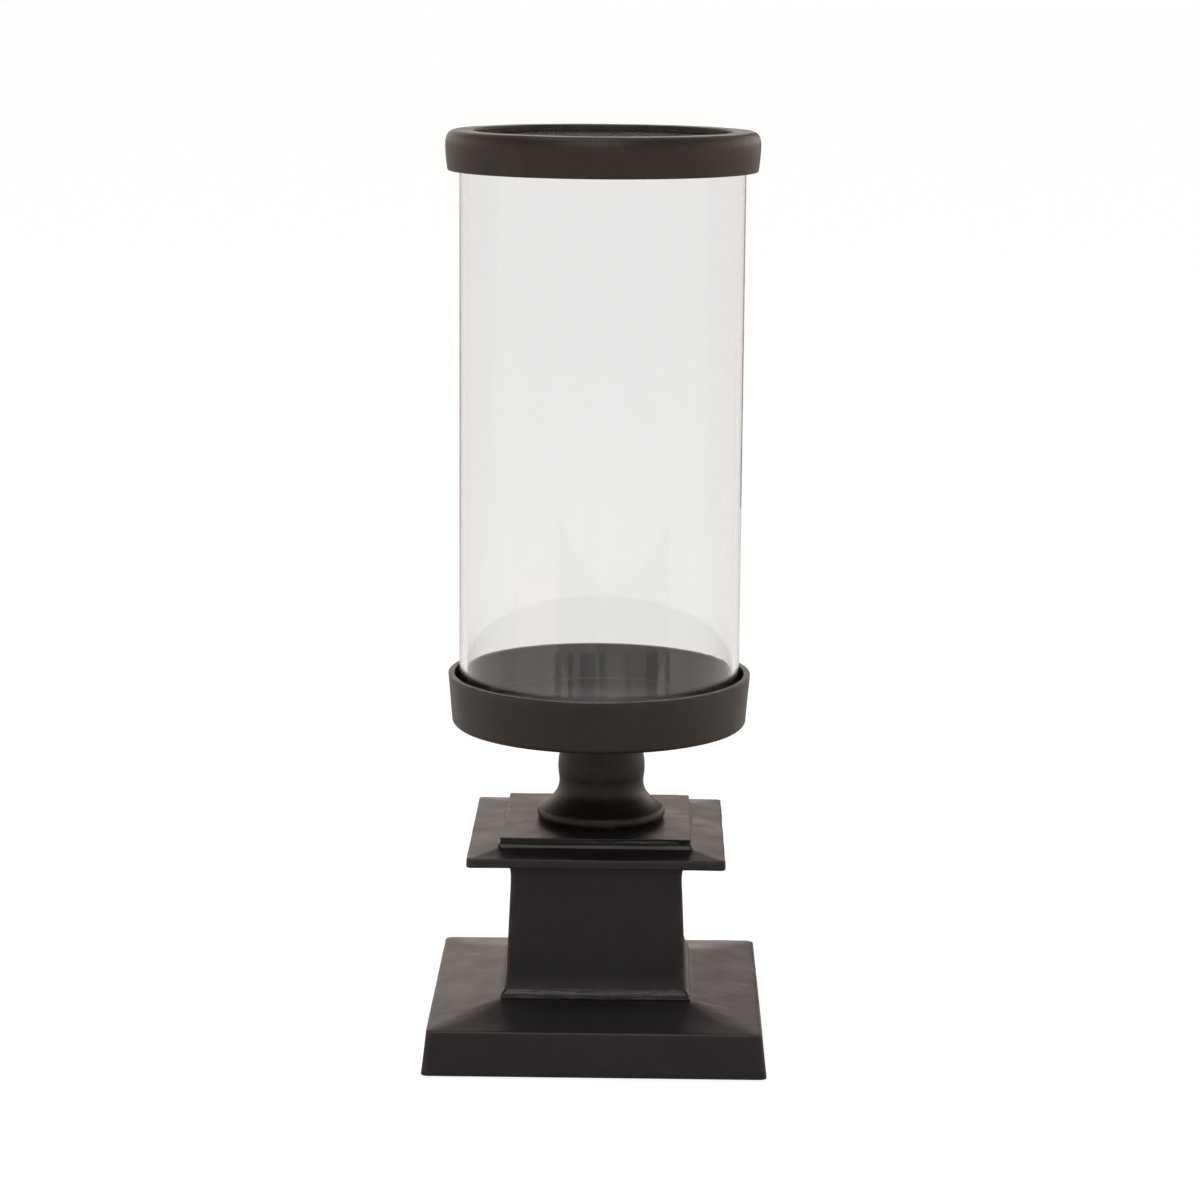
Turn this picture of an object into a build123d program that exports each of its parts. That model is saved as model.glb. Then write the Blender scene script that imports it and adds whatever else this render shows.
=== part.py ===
from build123d import *
import math
import os

# Hurricane candle lantern: a glass chimney that stands in a round tray, on a square cast
# pedestal drawn together by one tie rod, with a loose ring on top of the glass.
# Millimetres, +Z up. The origin is on the table, under the middle of the plinth.

# Foot pads, stuck under round lands cast inside the plinth's corners
pad_radius = 7.0
pad_thickness = 1.0
pad_offset = 64.5
land_radius = 10.5

# Plinth: hollow square casting with a sloping skirt and a low hipped roof
plinth_half_width = 78.4
skirt_top_half_width = 76.2
skirt_height = 20.5
roof_height = 5.4
roof_seat_half_width = 44.6
plinth_wall = 4.2
roof_wall = 4.5
skirt_corner_radius = 2.5
hip_radius = 7.0
rod_boss_radius = 13.0
rod_boss_depth = 4.0

# Column: hollow square casting, slightly waisted near its top
column_height = 65.9
column_band_half_width = 43.9
column_band_height = 3.9
column_shaft_base_half_width = 41.3
column_shaft_base_height = 7.1
column_mid_half_width = 39.9
column_mid_height = 40.6
column_waist_half_width = 39.4
column_waist_height = 63.4
column_top_half_width = 41.4
column_edge_radius = 1.5
cove_steps = 4
column_wall = 5.0
column_cap_thickness = 6.0

# Capital plate: square plate whose top slopes up to a raised, bevelled seat
capital_half_width = 58.9
capital_edge_height = 4.7
capital_slope_height = 1.5
seat_foot_half_width = 44.2
seat_top_half_width = 42.9
seat_height = 2.3
capital_corner_radius = 1.5

# Abacus plate: thin square slab
abacus_half_width = 43.1
abacus_thickness = 2.0

# Neck: turned spool, from its bullnose foot to the collar under the tray
neck_foot_radius = 29.2
neck_foot_bulge_radius = 29.95
neck_foot_height = 5.8
neck_foot_shoulder_radius = 28.4
neck_waist_radius = 19.7
neck_waist_height = 17.2
neck_bead_radius = 20.3
neck_bead_height = 24.2
neck_throat_radius = 19.3
neck_throat_height = 32.4
neck_collar_radius = 25.0
neck_collar_height = 42.2
neck_height = 45.2

# Candle tray: round dish with a raised middle that the candle stands on
tray_height = 24.0
tray_rim_radius = 70.2
tray_base_radius = 68.2
tray_edge_radius = 2.4
tray_rim_wall = 3.1
tray_inner_base_radius = 66.5
tray_floor_height = 7.0
tray_floor_thickness = 4.0
tray_ring_wall = 4.5
tray_boss_radius = 26.0
candle_seat_radius = 61.0
candle_seat_height = 1.0

# Glass chimney: open tube that stands on the tray's floor, round the candle seat
glass_radius = 65.0
glass_wall = 3.0
glass_height = 263.0
glass_rim_radius = 1.0

# Top ring: L-section casting, with a soft strip between its lip and the glass
ring_bottom_radius = 70.5
ring_bulge_radius = 71.45
ring_shoulder_radius = 71.2
ring_bore_radius = 66.0
ring_lip_radius = 58.8
ring_lip_thickness = 2.7
ring_height = 18.0
ring_bulge_height = 11.0
ring_shoulder_height = 14.2
ring_top_flat_radius = 67.0
lip_edge_radius = 0.9
gasket_thickness = 0.8
gasket_inner_radius = 62.2
gasket_outer_radius = 65.6

# M6 hardware
rod_radius = 3.0
rod_fit = 0.02
rod_hole_radius = 3.5
rod_engagement = 5.8
rod_end_gap = 0.2
rod_tail = 2.0
washer_radius = 9.0
washer_bore_radius = 3.2
washer_thickness = 1.6
spring_washer_radius = 5.9
spring_washer_bore_radius = 3.05
spring_washer_thickness = 1.6
spring_washer_gap = 1.2
nut_width = 10.0
nut_height = 5.2
nut_chamfer_angle = 30.0

# Levels above the table
plinth_bottom = pad_thickness
skirt_top = plinth_bottom + skirt_height
plinth_top = skirt_top + roof_height
plinth_ceiling = plinth_top - roof_wall
boss_face = plinth_ceiling - rod_boss_depth
column_top = plinth_top + column_height
capital_edge_top = column_top + capital_edge_height
seat_foot = capital_edge_top + capital_slope_height
capital_top = seat_foot + seat_height
abacus_top = capital_top + abacus_thickness
tray_bottom = abacus_top + neck_height
tray_floor = tray_bottom + tray_floor_height
tray_top = tray_bottom + tray_height
candle_seat = tray_floor + candle_seat_height
glass_top = tray_floor + glass_height
lip_underside = glass_top + gasket_thickness
ring_top = lip_underside + ring_lip_thickness
ring_bottom = ring_top - ring_height
rod_top = tray_bottom + rod_engagement
washer_bottom = boss_face - washer_thickness
spring_washer_bottom = washer_bottom - spring_washer_thickness
nut_bottom = spring_washer_bottom - nut_height
rod_bottom = nut_bottom - rod_tail


def cylinder(radius, low, high):
    """An upright cylinder on the lantern's axis, between two levels."""
    return Pos(0, 0, low) * extrude(Circle(radius), high - low)


def square(half_width, level, corner_radius):
    """A square outline with round corners, at one level."""
    return Pos(0, 0, level) * RectangleRounded(2 * half_width, 2 * half_width, corner_radius)


def tapered_square(low_half, low, low_corner, high_half, high, high_corner):
    """A square frustum with round corners, between two levels."""
    outlines = [square(low_half, low, low_corner), square(high_half, high, high_corner)]
    return loft(outlines, ruled=True)


def turned(outline):
    """A solid of revolution about the lantern's axis, from a closed outline in the XZ plane."""
    return revolve(make_face(outline), Axis.Z)


def at(radius, level):
    """A point of a turned outline."""
    return (radius, 0, level)


def foot_pad_places():
    """Centres of the four pads, one near each corner."""
    return [(x, y) for x in (-pad_offset, pad_offset) for y in (-pad_offset, pad_offset)]


def make_foot_pads():
    """Four soft discs that the lantern stands on."""
    return Compound([Pos(x, y, 0) * cylinder(pad_radius, 0, pad_thickness) for x, y in foot_pad_places()])


def make_plinth():
    """Hollow square casting, with pad lands in its corners and a boss for the rod."""
    skirt = tapered_square(
        plinth_half_width, plinth_bottom, skirt_corner_radius,
        skirt_top_half_width, skirt_top, skirt_corner_radius,
    )
    roof = tapered_square(
        skirt_top_half_width, skirt_top, skirt_corner_radius,
        roof_seat_half_width, plinth_top, hip_radius,
    )
    outside = skirt + roof
    eaves = skirt_top - roof_wall
    inner_skirt = tapered_square(
        plinth_half_width - plinth_wall, plinth_bottom, skirt_corner_radius,
        skirt_top_half_width - plinth_wall, eaves, skirt_corner_radius,
    )
    inner_roof = tapered_square(
        skirt_top_half_width - plinth_wall, eaves, skirt_corner_radius,
        roof_seat_half_width - plinth_wall, plinth_ceiling, hip_radius,
    )
    lands = [Pos(x, y, 0) * cylinder(land_radius, plinth_bottom, plinth_ceiling) for x, y in foot_pad_places()]
    hollow = inner_skirt + inner_roof - lands - cylinder(rod_boss_radius, boss_face, plinth_top)
    return outside - hollow - cylinder(rod_hole_radius, boss_face, plinth_top)


def cove_outlines(start_half, start, end_half, end, corner_radius, outward_end):
    """Square outlines along a concave quarter ellipse between two half-widths."""
    outlines = []
    for step in range(cove_steps + 1):
        angle = math.pi / 2 * step / cove_steps
        if outward_end == "low":
            across, along = 1 - math.sin(angle), 1 - math.cos(angle)
            half_width = end_half + (start_half - end_half) * across
        else:
            across, along = 1 - math.cos(angle), math.sin(angle)
            half_width = start_half + (end_half - start_half) * across
        outlines.append(square(half_width, start + (end - start) * along, corner_radius))
    return outlines


def make_column():
    """Hollow square casting, open below and closed above by a cap with the rod's hole."""
    band = tapered_square(
        column_band_half_width, 0, column_edge_radius,
        column_band_half_width, column_band_height, column_edge_radius,
    )
    foot_cove = loft(cove_outlines(
        column_band_half_width, column_band_height,
        column_shaft_base_half_width, column_shaft_base_height, column_edge_radius, "low",
    ))
    shaft = loft([
        square(column_shaft_base_half_width, column_shaft_base_height, column_edge_radius),
        square(column_mid_half_width, column_mid_height, column_edge_radius),
        square(column_waist_half_width, column_waist_height, column_edge_radius),
    ])
    top_cove = loft(cove_outlines(
        column_waist_half_width, column_waist_height,
        column_top_half_width, column_height, column_edge_radius, "high",
    ))
    hollow = tapered_square(
        column_shaft_base_half_width - column_wall, 0, column_wall,
        column_waist_half_width - column_wall, column_height - column_cap_thickness, column_wall,
    )
    shape = band + foot_cove + shaft + top_cove - hollow - cylinder(rod_hole_radius, 0, column_height)
    return Pos(0, 0, plinth_top) * shape


def make_capital_plate():
    """Square plate, sloping up to the bevelled seat of the abacus."""
    edge = tapered_square(
        capital_half_width, column_top, capital_corner_radius,
        capital_half_width, capital_edge_top, capital_corner_radius,
    )
    slope = tapered_square(
        capital_half_width, capital_edge_top, capital_corner_radius,
        seat_foot_half_width, seat_foot, capital_corner_radius,
    )
    seat = tapered_square(
        seat_foot_half_width, seat_foot, capital_corner_radius,
        seat_top_half_width, capital_top, capital_corner_radius,
    )
    return edge + slope + seat - cylinder(rod_hole_radius, column_top, capital_top)


def make_abacus_plate():
    """Thin square slab between the capital and the neck."""
    slab = tapered_square(
        abacus_half_width, capital_top, capital_corner_radius,
        abacus_half_width, abacus_top, capital_corner_radius,
    )
    return slab - cylinder(rod_hole_radius, capital_top, abacus_top)


def make_neck():
    """Turned spool with the rod's hole down its middle."""
    foot = at(neck_foot_radius, 0)
    shoulder = at(neck_foot_shoulder_radius, neck_foot_height)
    waist = at(neck_waist_radius, neck_waist_height)
    throat = at(neck_throat_radius, neck_throat_height)
    collar = at(neck_collar_radius, neck_collar_height)
    collar_top = at(neck_collar_radius, neck_height)
    outline = [
        Line(at(rod_hole_radius, 0), foot),
        ThreePointArc(foot, at(neck_foot_bulge_radius, neck_foot_height / 2), shoulder),
        TangentArc(waist, shoulder, tangent=(0, 0, -1), tangent_from_first=True),
        ThreePointArc(waist, at(neck_bead_radius, neck_bead_height), throat),
        TangentArc(throat, collar, tangent=(0, 0, 1)),
        Line(collar, collar_top),
        Line(collar_top, at(rod_hole_radius, neck_height)),
        Line(at(rod_hole_radius, neck_height), at(rod_hole_radius, 0)),
    ]
    return Pos(0, 0, abacus_top) * turned(outline)


def make_candle_tray():
    """Round dish: sloping wall, raised candle seat, and a threaded boss beneath."""
    outside = turned([
        Line(at(0, 0), at(tray_base_radius, 0)),
        Line(at(tray_base_radius, 0), at(tray_rim_radius, tray_height)),
        Line(at(tray_rim_radius, tray_height), at(0, tray_height)),
        Line(at(0, tray_height), at(0, 0)),
    ])
    outside = fillet(outside.edges().sort_by(Axis.Z)[0], tray_edge_radius)
    rim_bore_radius = tray_rim_radius - tray_rim_wall
    dish = turned([
        Line(at(0, tray_floor_height), at(tray_inner_base_radius, tray_floor_height)),
        Line(at(tray_inner_base_radius, tray_floor_height), at(rim_bore_radius, tray_height)),
        Line(at(rim_bore_radius, tray_height), at(0, tray_height)),
        Line(at(0, tray_height), at(0, tray_floor_height)),
    ])
    seat = cylinder(candle_seat_radius, tray_floor_height, tray_floor_height + candle_seat_height)
    recess_top = tray_floor_height - tray_floor_thickness
    recess = cylinder(tray_base_radius - tray_ring_wall, 0, recess_top) - cylinder(tray_boss_radius, 0, recess_top)
    rod_hole = cylinder(rod_radius + rod_fit, 0, rod_engagement + rod_end_gap)
    tray = outside - (dish - seat) - recess - rod_hole
    return Pos(0, 0, tray_bottom) * tray


def make_glass_chimney():
    """Open tube with fire-polished rims."""
    tube = cylinder(glass_radius, 0, glass_height) - cylinder(glass_radius - glass_wall, 0, glass_height)
    rims = tube.edges().filter_by(GeomType.CIRCLE)
    return Pos(0, 0, tray_floor) * fillet(rims, glass_rim_radius)


def make_top_ring():
    """L-section ring: a slightly bulged skirt round the glass and a lip over its rim."""
    lip_level = ring_height - ring_lip_thickness
    foot = at(ring_bottom_radius, 0)
    shoulder = at(ring_shoulder_radius, ring_shoulder_height)
    top_flat = at(ring_top_flat_radius, ring_height)
    lip_top = at(ring_lip_radius + lip_edge_radius, ring_height)
    lip_upper = at(ring_lip_radius, ring_height - lip_edge_radius)
    lip_lower = at(ring_lip_radius, lip_level)
    inner_corner = at(ring_bore_radius, lip_level)
    inner_foot = at(ring_bore_radius, 0)
    outline = [
        Line(inner_foot, foot),
        ThreePointArc(foot, at(ring_bulge_radius, ring_bulge_height), shoulder),
        TangentArc(top_flat, shoulder, tangent=(1, 0, 0)),
        Line(top_flat, lip_top),
        TangentArc(lip_top, lip_upper, tangent=(-1, 0, 0)),
        Line(lip_upper, lip_lower),
        Line(lip_lower, inner_corner),
        Line(inner_corner, inner_foot),
    ]
    return Pos(0, 0, ring_bottom) * turned(outline)


def make_ring_gasket():
    """Soft flat strip under the ring's lip."""
    disc = cylinder(gasket_outer_radius, glass_top, lip_underside)
    return disc - cylinder(gasket_inner_radius, glass_top, lip_underside)


def make_tie_rod():
    """Rod that holds the pedestal together."""
    return cylinder(rod_radius, rod_bottom, rod_top)


def make_flat_washer():
    """Wide washer under the plinth's boss."""
    disc = cylinder(washer_radius, washer_bottom, boss_face)
    return disc - cylinder(washer_bore_radius, washer_bottom, boss_face)


def make_spring_washer():
    """Split washer, pressed flat."""
    disc = cylinder(spring_washer_radius, spring_washer_bottom, washer_bottom)
    disc -= cylinder(spring_washer_bore_radius, spring_washer_bottom, washer_bottom)
    slot_length = 2 * spring_washer_radius
    slot = extrude(Rectangle(slot_length, spring_washer_gap), spring_washer_thickness)
    return disc - Pos(spring_washer_radius, 0, spring_washer_bottom) * slot


def make_hex_nut():
    """Hexagon nut with both ends chamfered."""
    across_corners = nut_width / math.cos(math.pi / 6)
    hexagon = extrude(RegularPolygon(nut_width / 2, 6, major_radius=False), nut_height)
    corner_drop = (across_corners - nut_width) / 2 * math.tan(math.radians(nut_chamfer_angle))
    turned_blank = turned([
        Line(at(0, 0), at(nut_width / 2, 0)),
        Line(at(nut_width / 2, 0), at(across_corners / 2, corner_drop)),
        Line(at(across_corners / 2, corner_drop), at(across_corners / 2, nut_height - corner_drop)),
        Line(at(across_corners / 2, nut_height - corner_drop), at(nut_width / 2, nut_height)),
        Line(at(nut_width / 2, nut_height), at(0, nut_height)),
        Line(at(0, nut_height), at(0, 0)),
    ])
    nut = (hexagon & turned_blank) - cylinder(rod_radius + rod_fit, 0, nut_height)
    return Pos(0, 0, nut_bottom) * nut


parts = {
    "foot_pads": make_foot_pads(),
    "plinth": make_plinth(),
    "column": make_column(),
    "capital_plate": make_capital_plate(),
    "abacus_plate": make_abacus_plate(),
    "neck": make_neck(),
    "candle_tray": make_candle_tray(),
    "glass_chimney": make_glass_chimney(),
    "ring_gasket": make_ring_gasket(),
    "top_ring": make_top_ring(),
    "tie_rod": make_tie_rod(),
    "flat_washer": make_flat_washer(),
    "spring_washer": make_spring_washer(),
    "hex_nut": make_hex_nut(),
}

os.makedirs("parts", exist_ok=True)
for name, solid in parts.items():
    export_step(solid, f"parts/{name}.step")
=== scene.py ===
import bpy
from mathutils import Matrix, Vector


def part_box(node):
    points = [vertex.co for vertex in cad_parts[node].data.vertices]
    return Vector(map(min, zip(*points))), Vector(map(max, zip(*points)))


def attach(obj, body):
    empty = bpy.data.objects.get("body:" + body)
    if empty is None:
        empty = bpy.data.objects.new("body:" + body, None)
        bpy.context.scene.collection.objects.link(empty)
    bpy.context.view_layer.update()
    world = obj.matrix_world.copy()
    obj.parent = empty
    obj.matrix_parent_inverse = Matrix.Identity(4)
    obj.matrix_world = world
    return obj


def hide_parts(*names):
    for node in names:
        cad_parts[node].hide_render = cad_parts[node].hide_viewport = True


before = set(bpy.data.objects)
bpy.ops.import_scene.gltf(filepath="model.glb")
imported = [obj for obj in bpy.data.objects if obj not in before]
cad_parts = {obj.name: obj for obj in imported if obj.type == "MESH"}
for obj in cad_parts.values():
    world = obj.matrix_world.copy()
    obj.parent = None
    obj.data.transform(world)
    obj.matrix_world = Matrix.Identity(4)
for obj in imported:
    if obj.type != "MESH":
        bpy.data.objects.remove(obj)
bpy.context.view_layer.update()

import math

import bmesh
import bpy
from mathutils import Euler, Matrix, Vector, noise

# Hurricane candle lantern: a glass chimney in a round tray, on a square cast pedestal, under a loose ring.
# Outlines are in millimetres and finished objects in metres, both in the CAD's frame: +Z up, front at -Y.

MM = 0.001

# Camera: place in metres, angles in degrees, lens and sensor in millimetres
CAMERA_PLACE = (0.0228, -1.5273, 0.4909)
CAMERA_PITCH = 10.56
CAMERA_YAW = 0.85
CAMERA_ROLL = 0.44
CAMERA_LENS = 100.6
CAMERA_SENSOR = 36

# Mesh: steps along a square's side, round its corner and round each turned piece; sharp edges in degrees
SIDE_STEPS = 44
CORNER_STEPS = 8
ROUND_STEPS = 192
GLASS_STEPS = 360
STRIP_STEPS = 144
PAD_STEPS = 64
LAND_STEPS = 48
ROD_STEPS = 24
SHARP_ANGLE = 40

# Sizes in millimetres; PLINTH_ROOF is a thickness, SHY how far an outside stays inside the CAD's, and
# NECK_SHIFT how far the neck stands to the right of the lantern's axis
ROD_HOLE_RADIUS = 3.5
PAD_RADIUS = 7.0
PLINTH_ROOF = 4.5
SHY = 0.05
NECK_SHIFT = 1.4

# Floor: half its width in metres; its brightness as seen, and as light near the object, in front and behind
FLOOR_HALF = 60
FLOOR_GLOW = 0.9
FLOOR_NEAR = 0.24
FLOOR_FRONT = 1.0
FLOOR_BACK = 0.55
FLOOR_TINT = (1.0, 0.88, 0.8, 1)
WHITE = (1, 1, 1, 1)

# Surround: its brightness as light in front and behind, and its share of that overhead, left and right
SKY_FRONT = 0.87
SKY_BACK = 1.68
SKY_HIGH = 0.28
SKY_LEFT = 0.92
SKY_RIGHT = 1.22
FRONT_TINT = (1.0, 0.92, 0.87, 1)
BACK_TINT = (1.0, 0.86, 0.78, 1)

# Lamps: colour, and size in metres
LAMP_TINT = (1.0, 0.93, 0.9)
LAMP_SIZE = (1.1, 0.7)

# Low things in front that the glass mirrors, and pale warm boards behind them, each with its azimuth to the
# right of the front and its spread in degrees, and its brightness; their distance and height in metres
STANDS = (
    (41.8, 10, 0.0), (55, 4, 0.2), (-8, 12, 0.05), (-21, 4, 0.15), (-31, 5, 0.4), (4, 5, 0.3), (23, 3, 0.4),
)
STAND_DISTANCE = 0.6
STAND_HEIGHT = 0.085
BOARDS = ((-50, 34, 1.5), (12, 90, 0.72))
BOARD_DISTANCE = 0.75
BOARD_HEIGHT = 0.1
BOARD_TINT = (1.0, 0.81, 0.68, 1)

# Colours of the powder coat: the darker and the lighter of its mottle, and where an edge is rubbed and
# lightened as a painted highlight
BROWN_BLACK = ((0.0135, 0.0094, 0.0066, 1), (0.0175, 0.0126, 0.0094, 1))
# The coat of the column, capital and abacus, made bluish as a painted cool front light
PAINTED_COOL_LIGHT_BLACK = ((0.0046, 0.0038, 0.0052, 1), (0.0066, 0.0055, 0.0074, 1))
# The plinth's coat, bluish and lighter: a painted cool front light, and painted light on its upward-leaning
# skirt
PLINTH_PAINTED_LIGHT_BLACK = ((0.0092, 0.0078, 0.0098, 1), (0.0118, 0.0102, 0.0126, 1))
INSIDE_BROWN = ((0.0190, 0.0120, 0.0074, 1), (0.0230, 0.0150, 0.0098, 1))
# The neck's coat, darker than the ring's: painted shade under the tray
NECK_PAINTED_SHADE_BLACK = ((0.0075, 0.0050, 0.0036, 1), (0.0100, 0.0070, 0.0054, 1))
RUBBED_AND_HIGHLIT = (0.045, 0.04, 0.036, 1)


# ---------------------------------------------------------------- outlines


def line(start, end, step):
    """Points from start up to, but not including, end, about step apart."""
    a, b = Vector(start), Vector(end)
    count = max(1, round((b - a).length / step))
    return [tuple(a.lerp(b, i / count)) for i in range(count)]


def arc(centre, radius, first, last, count):
    """Points on an arc in the outline's plane, from angle first to angle last, both included."""
    points = []
    for i in range(count + 1):
        angle = math.radians(first + (last - first) * i / count)
        points.append((centre[0] + radius * math.cos(angle), centre[1] + radius * math.sin(angle)))
    return points


def hollow_corner(centre, radius, count):
    """Points on a quarter circle that turns from straight down to straight inwards, as from wall to floor."""
    return [(centre[0] + x, centre[1] - z) for x, z in arc((0, 0), radius, 0, 90, count)]


def smooth_through(points, step):
    """Points about step apart on a Catmull-Rom curve through the points given, last one left out."""
    made = []
    for i in range(len(points) - 1):
        p1, p2 = Vector(points[i]), Vector(points[i + 1])
        p0 = Vector(points[i - 1]) if i > 0 else 2 * p1 - p2
        p3 = Vector(points[i + 2]) if i + 2 < len(points) else 2 * p2 - p1
        count = max(2, round((p2 - p1).length / step))
        for j in range(count):
            t = j / count
            straight = 2 * p1 + (p2 - p0) * t
            bend = (2 * p0 - 5 * p1 + 4 * p2 - p3) * t * t
            twist = (3 * p1 - p0 - 3 * p2 + p3) * t * t * t
            made.append(tuple(0.5 * (straight + bend + twist)))
    return made


def raised(points, level):
    """An outline's points, moved up by a level."""
    return [(x, level + z) for x, z in points]


def with_corner(points, corner):
    """Adds a corner radius to the points of an outline: one number, or one for each end."""
    first, last = corner if isinstance(corner, tuple) else (corner, corner)
    count = max(1, len(points) - 1)
    return [(p[0], p[1], first + (last - first) * i / count) for i, p in enumerate(points)]


def as_circles(points):
    """Marks (radius, level) points of a square piece's outline as circles."""
    return [(radius, level, radius) for radius, level in points]


def level_of(node):
    """Lowest and highest level of a CAD node, in millimetres."""
    low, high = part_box(node)
    return low.z / MM, high.z / MM


def half_of(node):
    """Half of a CAD node's width, in millimetres."""
    low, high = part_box(node)
    return (high.x - low.x) / 2 / MM


# ---------------------------------------------------------------- meshes


def square_loop(half, level, corner):
    """A level loop: a square with round corners, or a circle when corner reaches half."""
    if corner >= half:
        return [(half * math.cos(a), half * math.sin(a), level) for a in square_bearings()]
    reach = half - corner
    quarter = [(half, reach * (2 * i / SIDE_STEPS - 1)) for i in range(SIDE_STEPS)]
    for i in range(CORNER_STEPS):
        angle = math.pi / 2 * i / CORNER_STEPS
        quarter.append((reach + corner * math.cos(angle), reach + corner * math.sin(angle)))
    loop = []
    for turn in range(4):
        c = round(math.cos(turn * math.pi / 2))
        s = round(math.sin(turn * math.pi / 2))
        loop += [(x * c - y * s, x * s + y * c, level) for x, y in quarter]
    return loop


def square_bearings():
    """Bearings of a square loop's points, so that circles join square loops point to point."""
    loop = square_loop(1.0, 0.0, 0.2)
    return [math.atan2(y, x) for x, y, _ in loop]


def round_loop(radius, level, steps=ROUND_STEPS):
    """A level circle."""
    angles = [2 * math.pi * i / steps for i in range(steps)]
    return [(radius * math.cos(a), radius * math.sin(a), level) for a in angles]


def skin(name, loops, closed=True):
    """A mesh object over loops of equal count, in millimetres, joined last to first or capped at its ends."""
    bm = bmesh.new()
    rings = [[bm.verts.new(Vector(p) * MM) for p in loop] for loop in loops]
    count = len(rings[0])
    pairs = list(zip(rings, rings[1:]))
    if closed:
        pairs.append((rings[-1], rings[0]))
    for low, high in pairs:
        for i in range(count):
            j = (i + 1) % count
            bm.faces.new((low[i], low[j], high[j], high[i]))
    if not closed:
        for ring in (rings[0], rings[-1]):
            cap(bm, ring)
    bmesh.ops.recalc_face_normals(bm, faces=bm.faces)
    return finished(name, bm)


def cap(bm, ring):
    """Closes a ring of points with triangles to its middle."""
    count = len(ring)
    middle = bm.verts.new(sum((v.co for v in ring), Vector()) / count)
    for i in range(count):
        bm.faces.new((ring[i], ring[(i + 1) % count], middle))


def finished(name, bm):
    """Turns a bmesh into a smooth-shaded object whose sharp edges stay crisp."""
    mesh = bpy.data.meshes.new(name)
    bm.to_mesh(mesh)
    bm.free()
    shade(mesh)
    piece = bpy.data.objects.new(name, mesh)
    bpy.context.scene.collection.objects.link(piece)
    return piece


def shade(mesh):
    """Shades a mesh smooth, up to its sharp edges."""
    mesh.polygons.foreach_set("use_smooth", [True] * len(mesh.polygons))
    mesh.set_sharp_from_angle(angle=math.radians(SHARP_ANGLE))


def turned(name, outline, steps=ROUND_STEPS):
    """A closed outline of (radius, level) points turned about the lantern's axis."""
    return skin(name, [round_loop(r, z, steps) for r, z in outline])


def squared(name, outline):
    """A closed outline of (half width, level, corner radius) points carried round a square."""
    return skin(name, [square_loop(*point) for point in outline])


def square_reach(p):
    """How far a point is from the lantern's axis, measured square to the lantern's sides."""
    return max(abs(p.x), abs(p.y))


def round_reach(p):
    """How far a point is from the lantern's axis."""
    return math.hypot(p.x, p.y)


def shrink(vertex, scale):
    """Moves a vertex towards the lantern's axis, to scale times its distance."""
    vertex.co.x *= scale
    vertex.co.y *= scale


def uneven(piece, depth, size, seed, moves):
    """Sinks a piece's surface unevenly, like a hand-finished sand casting's, where moves(point) is true."""
    mesh = piece.data
    normals = [v.normal.copy() for v in mesh.vertices]
    offset = Vector((seed * 3.7, seed * 1.3, seed * 5.1))
    untouched = 0.35
    for vertex, normal in zip(mesh.vertices, normals):
        if not moves(vertex.co / MM):
            continue
        p = vertex.co / (size * MM) + offset
        push = 0.7 * noise.noise(p) + 0.3 * noise.noise(p * 2.7)
        vertex.co += normal * (depth * MM * min(0.0, push - untouched))
    mesh.update()


def out_of_square(piece, above):
    """Splays the front left corner of a piece's upper part, as the hand-sawn one is."""
    splay, full_at_x, full_at_y = 0.028, 30, 43
    for vertex in piece.data.vertices:
        p = vertex.co / MM
        if p.z > above and p.x < 0 and p.y < 0:
            vertex.co.x *= 1 + splay * min(1.0, -p.y / full_at_y) * min(1.0, -p.x / full_at_x)


def apply_modifiers(piece):
    """Replaces a piece's mesh with what its modifiers make of it."""
    graph = bpy.context.evaluated_depsgraph_get()
    mesh = bpy.data.meshes.new_from_object(piece.evaluated_get(graph))
    piece.modifiers.clear()
    piece.data = mesh


def mark_edges(piece):
    """Stores how sharply the surface turns outwards at each point, softened, from 0 to 1, as the mask of
    rubbed coat and of a painted edge highlight.
    """
    most_per_mm = 0.35
    bm = bmesh.new()
    bm.from_mesh(piece.data)
    bend = []
    for vertex in bm.verts:
        turns = [e.calc_face_angle_signed(0.0) / (e.calc_length() / MM) for e in vertex.link_edges]
        bend.append(max(turns))
    values = [min(1.0, max(0.0, b / most_per_mm)) for b in bend]
    for _ in range(2):
        values = [mean_round(v, values) for v in bm.verts]
    bm.free()
    layer = piece.data.attributes.new("edge_wear_and_highlight", "FLOAT", "POINT")
    layer.data.foreach_set("value", values)


def mean_round(vertex, values):
    """Mean of a value at a vertex and at the vertices next to it."""
    total = values[vertex.index] + sum(values[e.other_vert(vertex).index] for e in vertex.link_edges)
    return total / (1 + len(vertex.link_edges))


# ---------------------------------------------------------------- materials


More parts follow.
